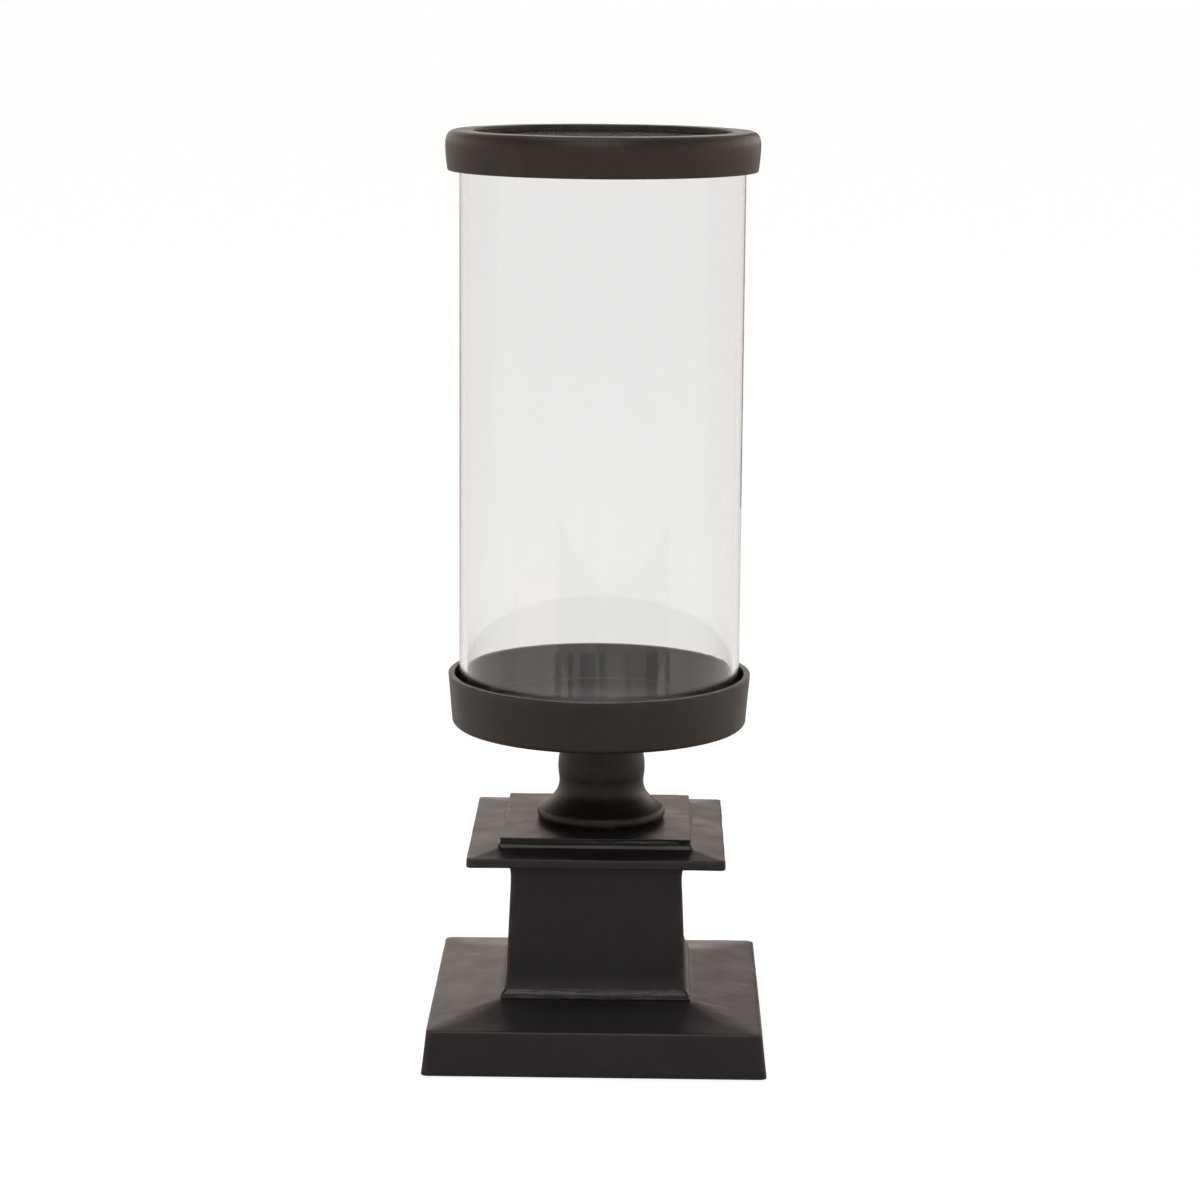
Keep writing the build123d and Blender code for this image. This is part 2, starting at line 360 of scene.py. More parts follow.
class Nodes:
    """Adds nodes and links to one node tree."""

    def __init__(self, tree):
        self.tree = tree

    def feed(self, socket, value):
        """Links a socket to another node's output, or sets its value."""
        if isinstance(value, bpy.types.NodeSocket):
            self.tree.links.new(value, socket)
        else:
            socket.default_value = value

    def add(self, kind, inputs=None, **settings):
        """A new node with its settings and its inputs, by name or by number."""
        node = self.tree.nodes.new(kind)
        for key, value in settings.items():
            setattr(node, key, value)
        for key, value in (inputs or {}).items():
            self.feed(node.inputs[key], value)
        return node

    def place(self, scale=(1.0, 1.0, 1.0)):
        """Object coordinates in metres, stretched by scale."""
        where = self.add("ShaderNodeTexCoord").outputs["Object"]
        return self.add("ShaderNodeMapping", {"Vector": where, "Scale": scale}).outputs["Vector"]

    def noise(self, per_metre, detail=2.0, roughness=0.5, stretch=(1.0, 1.0, 1.0)):
        """A noise pattern with so many cells to the metre."""
        inputs = {"Vector": self.place(stretch), "Scale": per_metre, "Detail": detail, "Roughness": roughness}
        return self.add("ShaderNodeTexNoise", inputs).outputs["Fac"]

    def ramp(self, value, low, high, to_low=0.0, to_high=1.0):
        """Maps low..high to to_low..to_high, clamped, with soft ends."""
        inputs = {"Value": value, "From Min": low, "From Max": high, "To Min": to_low, "To Max": to_high}
        node = self.add("ShaderNodeMapRange", inputs, interpolation_type="SMOOTHSTEP")
        return node.outputs["Result"]

    def calc(self, operation, first, second):
        """One sum with two values."""
        return self.add("ShaderNodeMath", {0: first, 1: second}, operation=operation).outputs[0]

    def blend(self, factor, first, second):
        """A value between two values."""
        return self.add("ShaderNodeMix", {0: factor, 2: first, 3: second}, data_type="FLOAT").outputs[0]

    def mix(self, factor, first, second):
        """A colour between two colours."""
        return self.add("ShaderNodeMix", {0: factor, 6: first, 7: second}, data_type="RGBA").outputs[2]

    def bump(self, height, distance, under=None):
        """A surface raised by height times so many metres, on top of the bump under it."""
        inputs = {"Height": height, "Distance": distance}
        if under is not None:
            inputs["Normal"] = under
        return self.add("ShaderNodeBump", inputs).outputs["Normal"]

    def seen_directly(self):
        """1 for what the camera sees straight on or through the glass, 0 for light and reflections."""
        path = self.add("ShaderNodeLightPath").outputs
        return self.calc("MAXIMUM", path["Is Camera Ray"], path["Is Transmission Ray"])


class Surface(Nodes):
    """The nodes of a new material, round its Principled shader."""

    def __init__(self, name):
        self.material = bpy.data.materials.new(name)
        self.material.use_nodes = True
        super().__init__(self.material.node_tree)
        self.shader = self.tree.nodes["Principled BSDF"]

    def set(self, **inputs):
        """Sets or links inputs of the shader; an underscore in a name stands for a space."""
        for name, value in inputs.items():
            self.feed(self.shader.inputs[name.replace("_", " ")], value)


def powder_coat(name, tone, brushed=(1.0, 1.0, 1.0), sandy=0.0, roughness=0.4, gloss=0.28):
    """Satin black powder coat over a hand-finished aluminium casting, its convex edges lightened as rubbed
    coat and painted highlight.
    """
    n = Surface(name)
    dark, light = tone
    colour = n.mix(n.ramp(n.noise(38, 3.0), 0.35, 0.68), dark, light)
    # Convex edges lightened in patches: partly rubbed coat, partly a painted highlight along the edges
    worn_and_highlit = n.add("ShaderNodeAttribute", attribute_name="edge_wear_and_highlight").outputs["Fac"]
    patchy = n.ramp(n.noise(220, 4.0, 0.65), 0.45, 0.62, 0.0, 0.5)
    colour = n.mix(n.calc("MULTIPLY", worn_and_highlit, patchy), colour, RUBBED_AND_HIGHLIT)
    grain = n.noise(900, 3.0, 0.6)
    file_marks = n.ramp(n.noise(260, 4.0, 0.7, brushed), 0.5, 0.72)
    scratches = n.calc("MULTIPLY", file_marks, n.ramp(n.noise(24, 2.0), 0.42, 0.62))
    rough = n.ramp(n.noise(60, 4.0, 0.6), 0.3, 0.7, roughness - 0.03, roughness + 0.03)
    rough = n.calc("ADD", rough, n.calc("MULTIPLY", grain, 0.04))
    rough = n.calc("SUBTRACT", rough, n.calc("MULTIPLY", scratches, 0.08))
    waves = n.bump(n.noise(60, 2.0), 0.00008)
    peel = n.bump(n.noise(650, 2.0, 0.55), 0.000008 + 0.00012 * sandy, waves)
    pimples = n.bump(grain, 0.000004 + 0.0001 * sandy, peel)
    n.set(Base_Color=colour, Roughness=rough, Normal=n.bump(scratches, 0.00003, pimples))
    n.set(Specular_IOR_Level=gloss)
    return n.material


def chimney_glass():
    """Clear soda-lime tube, a shade grey, wiped up and down so that faint streaks of haze are left."""
    n = Surface("chimney_glass")
    wiped = n.ramp(n.noise(110, 3.0, 0.6, (1.0, 1.0, 0.02)), 0.3, 0.75)
    clear = n.mix(wiped, (0.895, 0.893, 0.888, 1), (0.905, 0.904, 0.900, 1))
    n.set(Base_Color=clear, Roughness=0.0, IOR=1.5)
    n.set(Transmission_Weight=n.ramp(wiped, 0.0, 1.0, 1.0, 0.988))
    depth = n.add("ShaderNodeVolumeAbsorption", {"Color": (0.84, 0.88, 0.85, 1), "Density": 3.0})
    n.feed(n.tree.nodes["Material Output"].inputs["Volume"], depth.outputs["Volume"])
    return n.material


def zinc_plate():
    """Bright zinc plating with a faint blue-yellow cast and handling marks."""
    n = Surface("zinc_plate")
    cast = n.ramp(n.noise(240, 3.0), 0.35, 0.65)
    colour = n.mix(cast, (0.56, 0.57, 0.58, 1), (0.62, 0.60, 0.53, 1))
    rough = n.ramp(n.noise(700, 4.0, 0.7), 0.3, 0.7, 0.22, 0.42)
    n.set(Base_Color=colour, Roughness=rough, Normal=n.bump(n.noise(1500, 2.0), 0.000015), Metallic=1.0)
    return n.material


def pad_felt():
    """Pressed black felt with stray fibres."""
    n = Surface("pad_felt")
    fibres = n.noise(1800, 5.0, 0.75)
    colour = n.mix(n.ramp(fibres, 0.35, 0.7), (0.012, 0.012, 0.013, 1), (0.05, 0.048, 0.046, 1))
    n.set(Base_Color=colour, Roughness=0.95, Normal=n.bump(fibres, 0.0003), Sheen_Weight=0.3)
    return n.material


def strip_rubber():
    """Soft dark strip, slightly mottled."""
    n = Surface("strip_rubber")
    mottle = n.noise(400, 3.0)
    colour = n.mix(mottle, (0.02, 0.02, 0.02, 1), (0.05, 0.05, 0.048, 1))
    n.set(Base_Color=colour, Roughness=n.ramp(mottle, 0.3, 0.7, 0.6, 0.8), Normal=n.bump(mottle, 0.00005))
    return n.material


def paint(piece, *materials):
    """Gives a piece its materials."""
    piece.data.materials.clear()
    for material in materials:
        piece.data.materials.append(material)


# ---------------------------------------------------------------- plinth


def make_plinth():
    """Hollow square plinth: sloping skirt, low hipped roof with soft hips, pad lands and rod boss."""
    low, high = level_of("plinth")
    half = half_of("plinth") - SHY
    seat_half = half_of("column") + 0.7
    eaves, eaves_half = high - 5.4, half - 2.15
    ceiling = high - PLINTH_ROOF
    outline = plinth_skirt(low, high, half, eaves, eaves_half, seat_half)
    outline += plinth_roof(outline[-1][:2], (seat_half, high))
    outline += plinth_boss(high, ceiling)
    outline += plinth_hollow(low, ceiling, half, eaves, eaves_half, seat_half)
    plinth = squared("plinth_casting", outline)
    add_lands(plinth, low, ceiling)
    uneven(plinth, 0.3, 42, 1, moves=lambda p: low + 0.3 <= p.z <= high - 0.3)
    return plinth


def plinth_skirt(low, high, half, eaves, eaves_half, seat_half):
    """The plinth's outline from the table up the leaning skirt and round the eaves."""
    corner, bottom_round, eaves_round = 3.0, 0.45, 1.1
    lean = math.degrees(math.atan2(half - eaves_half, eaves - low))
    pitch = math.degrees(math.atan2(high - eaves, eaves_half - seat_half))
    points = arc((half - bottom_round, low + bottom_round), bottom_round, -90, lean, 5)
    points += line(points[-1], (eaves_half, eaves - eaves_round), 1.6)[1:]
    points += arc((eaves_half - eaves_round, eaves - eaves_round), eaves_round, lean, 90 - pitch, 6)
    return with_corner(points, corner)


def plinth_roof(start, end):
    """The plinth's outline up its slightly hollow roof, with soft hips, and across under the column."""
    corner, hip_softness, sag, steps = 3.0, 4.5, 0.3, 18
    outline = []
    for i in range(1, steps + 1):
        t = i / steps
        x = start[0] + (end[0] - start[0]) * t
        z = start[1] + (end[1] - start[1]) * t - sag * math.sin(math.pi * t)
        outline.append((x, z, corner + hip_softness * math.sin(math.pi * t)))
    return outline + with_corner(line((end[0] - 2, end[1]), (ROD_HOLE_RADIUS + 4, end[1]), 8), corner)


def plinth_boss(high, ceiling):
    """The plinth's outline down the rod's hole and round the boss under it."""
    radius, drop, edge, foot = 13.0, 4.0, 1, 1.5
    face = ceiling - drop
    outline = line((ROD_HOLE_RADIUS, high), (ROD_HOLE_RADIUS, face), 3)
    outline += line((ROD_HOLE_RADIUS, face), (radius - edge, face), 3)
    outline += arc((radius - edge, face + edge), edge, -90, 0, 4)
    outline += reversed(arc((radius + foot, ceiling - foot), foot, 90, 180, 4))
    return as_circles(outline)


def plinth_hollow(low, ceiling, half, eaves, eaves_half, seat_half):
    """The plinth's outline under its roof and down the inside of its skirt."""
    wall, corner, wide_corner, chamfer = 4.2, 3.0, 4.0, 0.6
    first_half, first_corner = 18.0, 8.0
    inner_half = eaves_half - wall
    under_eaves = eaves - PLINTH_ROOF
    foot = (half - wall, low + chamfer)
    flat = line((first_half, ceiling), (seat_half - wall, ceiling), 6)
    outline = with_corner(flat, (first_corner, corner))
    slope = line((seat_half - wall, ceiling), (inner_half - 3, under_eaves + 0.6), 4)
    outline += with_corner(slope, (corner, wide_corner))
    outline += with_corner(line((inner_half, under_eaves - 2.5), foot, 3), (wide_corner, corner))
    return outline + with_corner([foot, (half - wall + chamfer, low)], corner)


def add_lands(plinth, low, ceiling):
    """Joins the four round lands that the foot pads are stuck to, inside the plinth's corners."""
    place = half_of("foot_pads") - PAD_RADIUS
    for x in (-place, place):
        for y in (-place, place):
            land = make_land(low, ceiling)
            land.data.transform(Matrix.Translation((x * MM, y * MM, 0)))
            join = plinth.modifiers.new("land", "BOOLEAN")
            join.operation = "UNION"
            join.solver = "EXACT"
            join.object = land
            apply_modifiers(plinth)
            bpy.data.objects.remove(land)
    shade(plinth.data)


def make_land(low, ceiling):
    """A round column with a rounded lower edge."""
    radius, edge = 10.5, 0.8
    outline = [(radius - edge, low)] + arc((radius - edge, low + edge), edge, -70, 0, 4)
    outline += line((radius, low + 2), (radius, ceiling - 1), 4) + [(radius, ceiling - 1)]
    return skin("land", [round_loop(r, z, LAND_STEPS) for r, z in outline], closed=False)


# ---------------------------------------------------------------- column


def make_column():
    """Hollow square column: scraped foot band, wide foot cove, waisted shaft and a small cove at the top."""
    low, high = level_of("column")
    outline = column_outside(low, high, half_of("column")) + column_inside(low, high)
    column = squared("column_casting", outline)
    uneven(column, 0.3, 30, 2, moves=lambda p: low + 0.5 <= p.z <= high - 1.2)
    scrape(column, low + 0.3, low + 5.0)
    return column


def column_outside(low, high, band_half):
    """The column's outline from its foot up to its top."""
    edge = 1.7
    foot = [
        (band_half - 0.45, 0), (band_half - 0.05, 0.35), (band_half, 0.9), (band_half - 0.25, 1.7),
        (band_half - 0.5, 2.5), (band_half - 0.95, 3.2), (band_half - 1.4, 4.0), (band_half - 1.8, 5.0),
        (band_half - 2.15, 6.2), (band_half - 2.45, 7.8), (band_half - 2.75, 10.0),
    ]
    shaft = [(41.0, 12.8), (40.75, 20), (40.4, 30), (39.8, 44), (39.4, 54)]
    cove = [(39.5, 58.5), (39.95, 61), (40.55, 63), (41.2, 65.3)]
    points = raised(smooth_through(foot + shaft + cove, 0.6), low)
    return with_corner(points + [(41.25, high - 0.25), (40.8, high)], edge)


def column_inside(low, high):
    """The column's outline across its top, down the rod's hole, under its cap and down to its foot."""
    edge, cap_thickness, foot_chamfer = 1.7, 6, 0.5
    under_cap = high - cap_thickness
    outline = with_corner(line((39.5, high), (ROD_HOLE_RADIUS + 4, high), 8), (edge, 3.0))
    outline += as_circles(line((ROD_HOLE_RADIUS, high), (ROD_HOLE_RADIUS, under_cap), 3))
    outline += as_circles([(ROD_HOLE_RADIUS, under_cap), (12, under_cap)])
    outline += with_corner(line((20, under_cap), (31, under_cap), 6), (8.0, 5.0))
    outline += with_corner(line((34.4, high - 9), (36.3, low + foot_chamfer), 6), 5.0)
    outline += with_corner([(36.3, low + foot_chamfer), (36.8, low)], 5.0)
    return outline + with_corner(line((38.5, low), (42.6, low), 2), (4.0, edge))


def scrape(piece, low, high):
    """Fine wandering file marks along the outside of a casting between two levels."""
    depth, outside_from = 0.35, 38
    for vertex in piece.data.vertices:
        p = vertex.co / MM
        reach = square_reach(p)
        if not low < p.z < high or reach < outside_from:
            continue
        along = p.x + p.y * 0.7
        marks = noise.noise(Vector((along / 14, p.z * 1.9, 3.1)))
        marks += 0.5 * noise.noise(Vector((along / 5, p.z * 4.0, 8.2)))
        shrink(vertex, 1 - depth * max(0.0, marks) / reach)


# ---------------------------------------------------------------- capital and abacus


def slab_half():
    """Half the width of the abacus and of the seat that it is filed flush with, in millimetres."""
    return half_of("abacus_plate") - 0.1


def make_capital():
    """Square plate with a coved top rising to the bevelled seat of the abacus."""
    low, high = level_of("capital_plate")
    half = half_of("capital_plate") - SHY
    slope_start = 43.6
    capital = squared("capital_casting", capital_outside(low, high, half) + capital_inside(low, high, half))
    uneven(capital, 0.35, 26, 3, moves=lambda p: square_reach(p) >= slope_start)
    out_of_square(capital, low + 6.2)
    return capital


def capital_outside(low, high, half):
    """The capital's outline round its edge, up its slope and up the seat's bevel and face."""
    corner, bottom_round, top_round = 1.8, 0.9, 0.8
    flush = slab_half()
    points = arc((half - bottom_round, low + bottom_round), bottom_round, -90, 0, 5)
    points += line((half, low + 1.3), (half - 0.1, low + 3.6), 0.8)
    points += arc((half - 0.9, low + 3.85), top_round, 0, 84, 6)
    slope = [(half - 1.2, low + 4.68), (half - 6, low + 5.15), (47.5, low + 5.8), (44.9, low + 6.15)]
    outline = with_corner(points, corner) + with_corner(smooth_through(slope, 1.2), corner)
    bevel = raised([(44.45, 6.2), (44.25, 6.75), (43.9, 7.3), (43.4, 7.75), (flush, 7.95)], low)
    face = [(flush, low + 8.3), (flush, high - 0.12), (flush - 0.15, high)]
    return outline + with_corner(bevel + face, corner)


def capital_inside(low, high, half):
    """The capital's outline across its seat, down the rod's hole and out along its grooved underside."""
    corner, groove = 1.8, 0.5
    outline = with_corner(line((41.5, high), (ROD_HOLE_RADIUS + 4, high), 8), (corner, 3.0))
    outline += as_circles(line((ROD_HOLE_RADIUS, high), (ROD_HOLE_RADIUS, low), 3))
    outline += as_circles([(ROD_HOLE_RADIUS, low), (9, low)])
    outline += with_corner(line((14, low), (41.2, low), 6), (6.0, corner))
    outline += with_corner([(41.4, low + groove), (42.6, low + groove), (42.9, low)], corner)
    return outline + with_corner(line((44, low), (half - 1.2, low), 3), corner)


def make_abacus():
    """Thin square slab, filed flush with its seat."""
    low, high = level_of("abacus_plate")
    half = slab_half()
    corner, top_round, bare_from = 1.5, 0.3, 32
    points = [(half - 0.9, low), (half - 0.15, low + 0.02), (half, low + 0.14)]
    points += line((half, low + 0.35), (half, high - 0.35), 0.22)
    points += arc((half - top_round, high - top_round), top_round, 0, 90, 4)
    outline = with_corner(points, corner)
    outline += with_corner(line((half - 1.5, high), (ROD_HOLE_RADIUS + 4, high), 5), (corner, 3.0))
    outline += as_circles([(ROD_HOLE_RADIUS, high), (ROD_HOLE_RADIUS, low), (9, low)])
    outline += with_corner(line((14, low), (half - 1.6, low), 8), (6.0, corner))
    abacus = squared("abacus_casting", outline)
    break_joint(abacus, low, high, half - 0.6)
    uneven(abacus, 0.3, 22, 4, moves=lambda p: square_reach(p) >= bare_from and p.z >= high - 0.1)
    out_of_square(abacus, low - 1)
    return abacus


def break_joint(abacus, low, high, edge_from):
    """Opens a wandering crack round the slab's edge, broken out more towards one end of each side."""
    crack_level, crack_half, chip, sides_apart = 0.62, 0.3, 0.4, 40.0
    for vertex in abacus.data.vertices:
        p = vertex.co / MM
        reach = square_reach(p)
        if reach < edge_from:
            continue
        along = p.x if abs(p.y) > abs(p.x) else p.y
        side = Vector((along, sides_apart * round(p.x / reach), sides_apart * round(p.y / reach)))
        drop = (high - p.z) / (high - low)
        broken = min(1.0, max(0.1, (along + 12) / 40))
        crack = crack_level + 0.45 * noise.noise(side / 7.0)
        near = max(0.0, 1 - abs(drop - crack) / crack_half)
        bite = noise.noise(side / 6.0 + Vector((7, 3, 0)))
        bite += 0.8 * noise.noise(side / 1.9 + Vector((0, 0, 2)))
        depth = near * broken * (0.5 + 1.2 * max(0.0, bite))
        shrink(vertex, (reach - depth) / reach)
        if drop < 0.5:
            vertex.co.z -= chip * MM * broken * max(0.0, noise.noise(side / 3.5 + Vector((2, 9, 4))))


# ---------------------------------------------------------------- neck, tray and ring


def make_neck():
    """Turned spool: flat-faced foot rim, deep cove, waist, soft bead and the collar under the tray."""
    low, high = level_of("neck")
    bore, collar = 5.5, 25.0
    foot_rim = [(28.9, 0.5), (29.55, 1.2), (29.9, 2.1), (29.85, 3.2), (29.6, 4.3), (29.2, 5.1), (28.5, 5.6)]
    cove = [(27.5, 6.1), (25.2, 7.6), (22.9, 9.8), (21.2, 12.0), (20.2, 14.3), (19.74, 16.8), (19.8, 19.2)]
    bead = [(20.15, 21.5), (20.35, 24.6), (20.15, 27.8), (19.65, 30.8)]
    throat = [(19.35, 33.4), (19.7, 36.2), (20.9, 38.8), (23.0, 41.0), (24.6, 42.2)]
    outline = line((bore, high), (bore, low), 4) + [(bore, low), (12, low), (20, low), (26, low), (28.6, low)]
    outline += raised(smooth_through(foot_rim + cove + bead + throat, 0.5), low)
    outline += [(collar, low + 42.5)] + line((collar, low + 43), (collar, high), 1.1) + [(collar, high)]
    outline += [(18, high), (9, high)]
    neck = turned("neck_casting", outline)
    uneven(neck, 0.2, 24, 5, moves=lambda p: low + 0.2 <= p.z <= high - 0.2)
    neck.data.transform(Matrix.Translation((NECK_SHIFT * MM, 0, 0)))
    return neck


def make_tray():
    """Round dish: leaning wall, soft rim, raised candle seat, recessed underside with the rod's boss."""
    low, high = level_of("candle_tray")
    floor = level_of("glass_chimney")[0]
    floor_edge, wall_from = 66.4, 65.6
    outline = tray_wall(low, high, floor) + tray_floor(low, floor) + tray_underside(low)
    tray = turned("tray_casting", outline)
    for face in tray.data.polygons:
        centre = face.center / MM
        on_floor = round_reach(centre) < floor_edge and centre.z > floor - 0.1
        face.material_index = 1 if on_floor else 0
    uneven(tray, 0.2, 34, 6, moves=lambda p: round_reach(p) >= wall_from and p.z >= low + 0.3)
    return tray


def tray_wall(low, high, floor):
    """The tray's outline from its lower edge up the leaning wall, over the rim and down inside."""
    rim = half_of("candle_tray")
    base, edge, wall, lip, inner_foot, inner_round = 68.2, 2.4, 3.1, 0.45, 66.5, 0.9
    lean = math.degrees(math.atan2(rim - base, high - low))
    outline = arc((base - edge + 0.2, low + edge), edge, -90, -lean, 7)
    outline += line(outline[-1], (rim - SHY, high - lip - 0.2), 1.8)[1:]
    outline += arc((rim - lip - SHY, high - lip), lip, -lean, 90, 5)
    outline += arc((rim - wall + lip, high - lip), lip, 92, 180, 5)
    outline += line((rim - wall - 0.02, high - lip - 0.8), (inner_foot, floor + inner_round), 1.8)[1:]
    return outline + hollow_corner((inner_foot - inner_round, floor + inner_round), inner_round, 4)


def tray_floor(low, floor):
    """The tray's outline over its floor and candle seat, and round the blind hole for the rod."""
    seat_radius, seat_rise, middle = 61.0, 1.0, 0.02
    hole_radius, hole_top = 3.02, level_of("tie_rod")[1] + 0.2
    seat = floor + seat_rise
    outline = line((64.5, floor), (seat_radius + 0.4, floor), 1.5)
    outline += [(seat_radius + 0.35, floor + 0.05), (seat_radius + 0.1, floor + 0.3)]
    outline += [(seat_radius, floor + 0.7), (seat_radius - 0.3, seat)]
    outline += line((seat_radius - 1.5, seat), (2, seat), 4) + [(middle, seat)]
    outline += [(middle, hole_top + 1.7), (hole_radius, hole_top)]
    return outline + line((hole_radius, hole_top - 1), (hole_radius, low), 2)


def tray_underside(low):
    """The tray's outline out from the rod's hole: boss, recess and foot ring."""
    boss, boss_edge, recess_radius, recess, corner = 26.0, 0.5, 63.7, 3.0, 0.8
    outline = line((3.5, low), (boss - boss_edge, low), 5)
    outline += arc((boss - boss_edge, low + boss_edge), boss_edge, -80, 0, 3)
    outline += [(boss + corner - x, low + recess - corner + z) for x, z in arc((0, 0), corner, 0, 90, 3)]
    outline += line((boss + 3, low + recess), (recess_radius - corner, low + recess), 5)
    outline += arc((recess_radius - corner, low + recess - corner), corner, 90, 0, 3)
    return outline + [(recess_radius, low + 1.2), (recess_radius, low + 0.4), (recess_radius + 0.4, low)]


def make_ring():
    """Loose cap ring: gently bulged skirt, big soft shoulder and a thin lip over the glass."""
    low, high = level_of("top_ring")
    bore, shoulder_round, lip_round, lip_thickness = 66.0, 4.05, 1.0, 2.7
    skirt = [
        (70.45, 0.35), (70.7, 2.0), (71.0, 4.5), (71.25, 7.2),
        (71.4, 9.9), (71.44, 12.2), (71.32, 13.6), (71.1, 14.8),
    ]
    under_lip = high - lip_thickness
    outline = [(bore, low + 0.3), (66.3, low), (70.1, low)] + raised(smooth_through(skirt, 0.9), low)
    outline += arc((67.05, high - shoulder_round), shoulder_round, 12, 90, 12)
    outline += line((66.0, high), (60.3, high), 1.4)
    outline += arc((59.8, high - lip_round), lip_round, 96, 180, 6)
    outline += [(58.8, high - 2.3), (59.0, under_lip)]
    outline += line((60.0, under_lip), (bore, under_lip), 1.5)
    outline += line((bore, high - 3.2), (bore, low + 0.8), 1.8)
    ring = turned("ring_casting", outline)

    def outer(p):
        """Whether a point is on the ring's outside or top."""
        in_bore = round_reach(p) < bore + 1 and p.z < high - 0.4
        return not in_bore and p.z >= low + 0.2

    uneven(ring, 0.2, 36, 7, moves=outer)
    return ring


# ---------------------------------------------------------------- glass, strip, pads and rod


def make_glass():
    """Open tube with fire-polished rims and faint lengthwise draw lines."""
    low, high = level_of("glass_chimney")
    outer = half_of("glass_chimney")
    wall, rim, step = 3.0, 1.1, 13
    inner = outer - wall
    outline = arc((outer - rim, low + rim), rim, -90, 0, 6)
    outline += line((outer, low + rim + 4), (outer, high - rim - 2), step)
    outline += arc((outer - rim, high - rim), rim, 0, 90, 6)
    outline += arc((inner + rim, high - rim), rim, 90, 180, 6)
    outline += line((inner, high - rim - 4), (inner, low + rim + 2), step)
    outline += arc((inner + rim, low + rim), rim, 180, 270, 6)
    glass = turned("chimney_tube", outline, GLASS_STEPS)
    draw_lines(glass, outer, (outer + inner) / 2)
    return glass


def draw_lines(glass, outer, middle):
    """Makes a tube's two walls wander by a few hundredths of a millimetre round the axis."""
    wander, ripple = 0.05, 0.02
    for vertex in glass.data.vertices:
        p = vertex.co / MM
        angle = math.atan2(p.y, p.x)
        side = 1.0 if round_reach(p) > middle else -1.0
        around = Vector((2.2 * math.cos(angle), 2.2 * math.sin(angle), side * 4 + p.z / 900))
        drift = wander * noise.noise(around) + ripple * noise.noise(around * 4.3)
        shrink(vertex, 1 + (drift - wander) / outer)
    glass.data.update()


def make_strip():
    """Soft strip that cushions the ring's lip on the glass."""
    low, high = level_of("ring_gasket")
    outer, inner, soft = half_of("ring_gasket"), 62.2, 0.25
    outline = arc((outer - soft, low + soft), soft, -90, 0, 3)
    outline += arc((outer - soft, high - soft), soft, 0, 90, 3)
    outline += line((outer - 1, high), (inner + 0.6, high), 0.8)
    outline += arc((inner + soft, high - soft), soft, 90, 180, 3)
    outline += arc((inner + soft, low + soft), soft, 180, 270, 3)
    outline += line((inner + 0.8, low), (outer - 0.6, low), 0.8)
    return turned("ring_strip", outline, STRIP_STEPS)


def make_pads():
    """Four die-cut felt discs with soft, slightly ragged edges."""
    low, high = level_of("foot_pads")
    place = half_of("foot_pads") - PAD_RADIUS
    under = [(radius, low) for radius in (1.5, 3, 4.5, 5.8, PAD_RADIUS - 0.5)]
    edge = [(PAD_RADIUS - 0.15, low + 0.15), (PAD_RADIUS, low + 0.5), (PAD_RADIUS, high - 0.4)]
    top = [(radius, high) for radius in (PAD_RADIUS - 0.05, 5.5, 4, 2)]
    pads = []
    for number, (sx, sy) in enumerate(((-1, -1), (1, -1), (1, 1), (-1, 1)), 1):
        loops = [round_loop(r, z, PAD_STEPS) for r, z in under + edge + top]
        pad = skin(f"felt_pad_{number}", loops, closed=False)
        for vertex in pad.data.vertices:
            there = vertex.co / MM * 1.4 + Vector((number * 9, 0, 0))
            shrink(vertex, 1 - 0.02 * (1 + noise.noise(there)))
        pad.data.transform(Matrix.Translation((sx * place * MM, sy * place * MM, 0)))
        pads.append(pad)
    return pads


def thread_depth(turns):
    """How far below its crest a thread lies, from 0 to 1, at so many turns along."""
    crest_from, flank = 0.94, 0.82
    across = abs((turns % 1.0) * 2 - 1)
    return min(1.0, max(0.0, (crest_from - across) / flank))


def make_rod():
    """Tie rod, threaded at both ends, plain between."""
    low, high = level_of("tie_rod")
    radius, pitch, depth, run_out, end_length, end_drop = 2.97, 1.0, 0.58, 0.7, 0.8, 0.75
    bottom_end, top_start = low + 22, high - 12
    loops = []
    for level in rod_levels(low, high, bottom_end, top_start, pitch):
        threaded = min(1.0, max(0.0, bottom_end - level, level - top_start) / run_out)
        end = min(1.0, max(0.0, 1 - min(level - low, high - level) / end_length))
        loop = []
        for i in range(ROD_STEPS):
            turn = i / ROD_STEPS
            cut = depth * threaded * thread_depth(level / pitch - turn)
            r = radius - max(cut, end_drop * end)
            loop.append((r * math.cos(2 * math.pi * turn), r * math.sin(2 * math.pi * turn), level))
        loops.append(loop)
    return skin("threaded_rod", loops, closed=False)


def rod_levels(low, high, bottom_end, top_start, pitch):
    """Levels of the rod's loops: close together along its two threads, far apart between them."""
    rows_per_turn, plain_step = 8, 12
    row = pitch / rows_per_turn
    bottom_rows = round((bottom_end - low) / pitch * rows_per_turn)
    top_rows = round((high - top_start) / pitch * rows_per_turn)
    levels = [low + i * row for i in range(bottom_rows)]
    levels += [point[0] for point in line((bottom_end, 0), (top_start, 0), plain_step)]
    return levels + [top_start + i * row for i in range(top_rows + 1)]


# ---------------------------------------------------------------- studio


def make_camera():
    """The viewing angle: a little above the tray, slightly right of square on."""
    data = bpy.data.cameras.new("camera")
    data.lens = CAMERA_LENS
    data.sensor_width = CAMERA_SENSOR
    camera = bpy.data.objects.new("camera", data)
    bpy.context.scene.collection.objects.link(camera)
    aim = Euler((math.radians(90 - CAMERA_PITCH), 0, math.radians(CAMERA_YAW)), "XYZ").to_matrix()
    roll = Matrix.Rotation(math.radians(CAMERA_ROLL), 3, "Z")
    camera.matrix_world = Matrix.Translation(CAMERA_PLACE) @ (aim @ roll).to_4x4()
    bpy.context.scene.camera = camera


